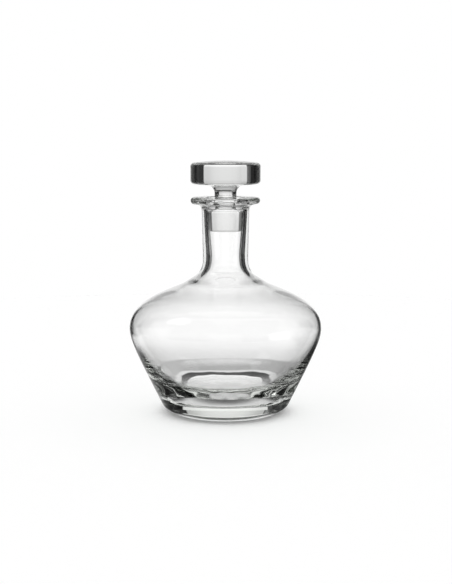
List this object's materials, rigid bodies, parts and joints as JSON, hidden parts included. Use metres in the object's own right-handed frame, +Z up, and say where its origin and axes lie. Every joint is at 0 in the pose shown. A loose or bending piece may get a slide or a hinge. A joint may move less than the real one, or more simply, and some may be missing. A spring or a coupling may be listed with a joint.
{
  "type": "whisky decanter",
  "caption": "Squat decanter of clear glass with a thick base, a sloping shoulder and a flanged neck, closed by a disc-topped glass stopper that lifts out.",
  "frame": {"origin": "centre of the flat foot, on the surface that the decanter stands on", "axes": "+Z up along the neck, which is the axis that both pieces are turned about; X and Y are any two square directions"},
  "size_m": [0.1574, 0.1574, 0.2045],
  "materials": {
    "body_glass": "clear polished glass",
    "stopper_glass": "clear polished glass"
  },
  "bodies": {
    "vessel": {"decanter_body": "body_glass"},
    "stopper": {"glass_stopper": "stopper_glass"}
  },
  "joints": [
    {"name": "stopper_lift", "type": "slide", "parent": "vessel", "child": "stopper", "axis": [0, 0, 1], "range_m": [0, 0.04]}
  ]
}
